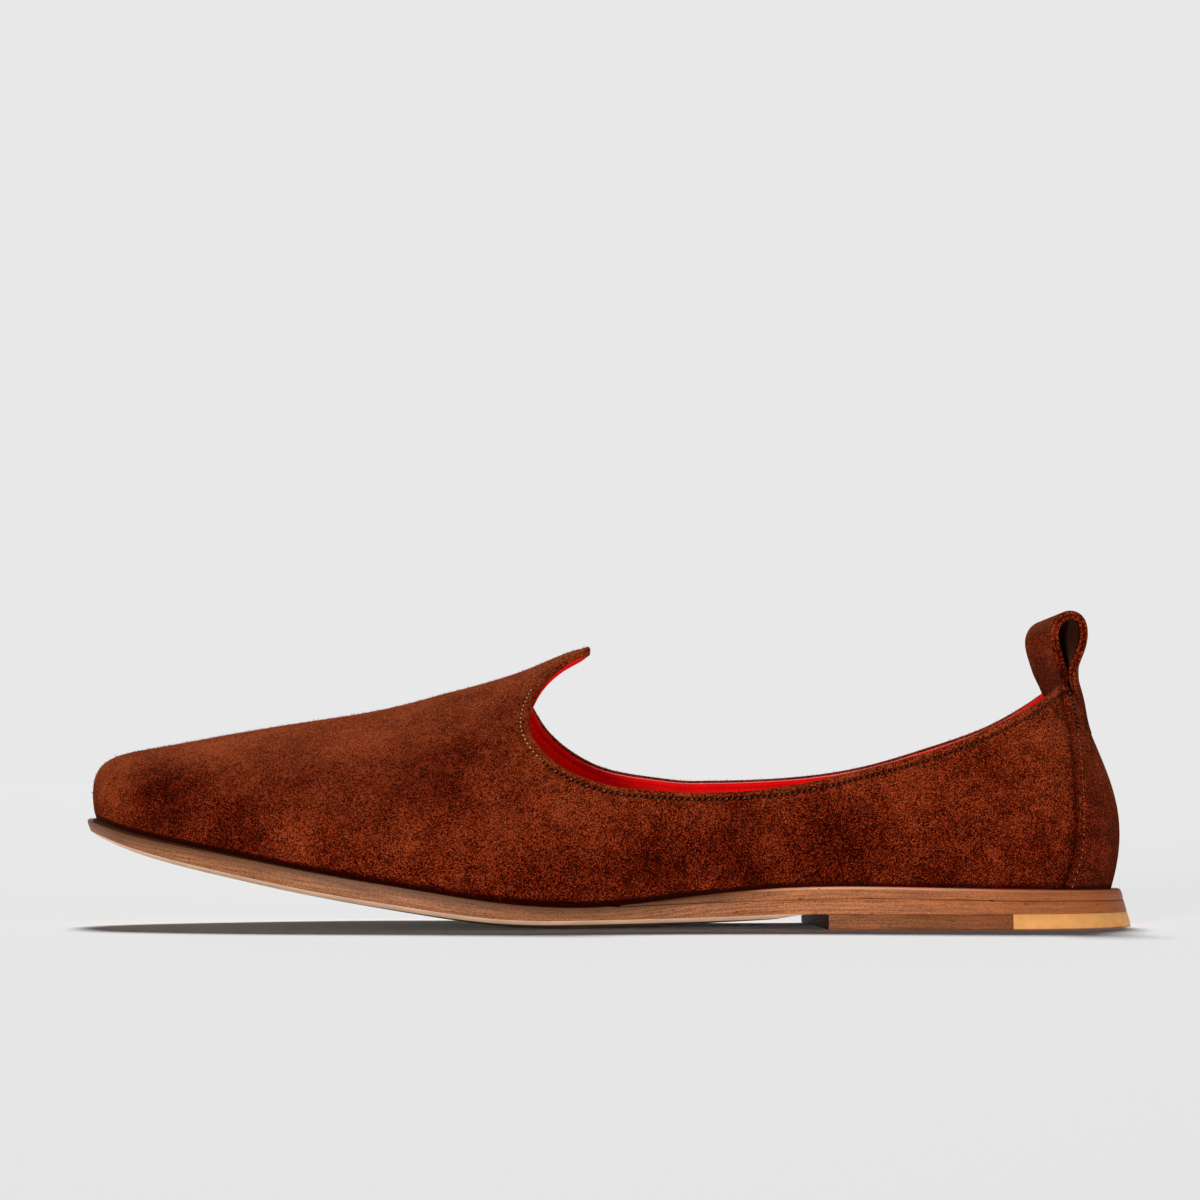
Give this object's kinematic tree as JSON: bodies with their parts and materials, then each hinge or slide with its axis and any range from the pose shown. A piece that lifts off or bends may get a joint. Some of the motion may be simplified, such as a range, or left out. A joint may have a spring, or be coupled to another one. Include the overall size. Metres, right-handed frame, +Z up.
{
  "type": "slip-on shoe",
  "caption": "Left suede slip-on shoe with a peaked vamp, back strip and pull loop, and a thin leather sole with a low heel.",
  "frame": {"origin": "on the ground under the middle of the shoe's bounding box", "axes": "+X towards the heel, toe at -X; +Y towards the inner (medial) side of the foot; +Z up"},
  "size_m": [0.3032, 0.0998, 0.0901],
  "materials": {
    "sole_leather": "burnished edge",
    "heel_rubber": "matte honey-coloured rubber",
    "red_lining": "smooth dyed leather",
    "suede": "napped suede"
  },
  "bodies": {
    "root": {"outsole": "sole_leather", "heel_seat": "sole_leather", "heel_lift": "sole_leather", "heel_tip": "heel_rubber", "insole": "red_lining", "upper": "suede", "heel_strip": "suede", "pull_loop": "suede"}
  },
  "joints": []
}
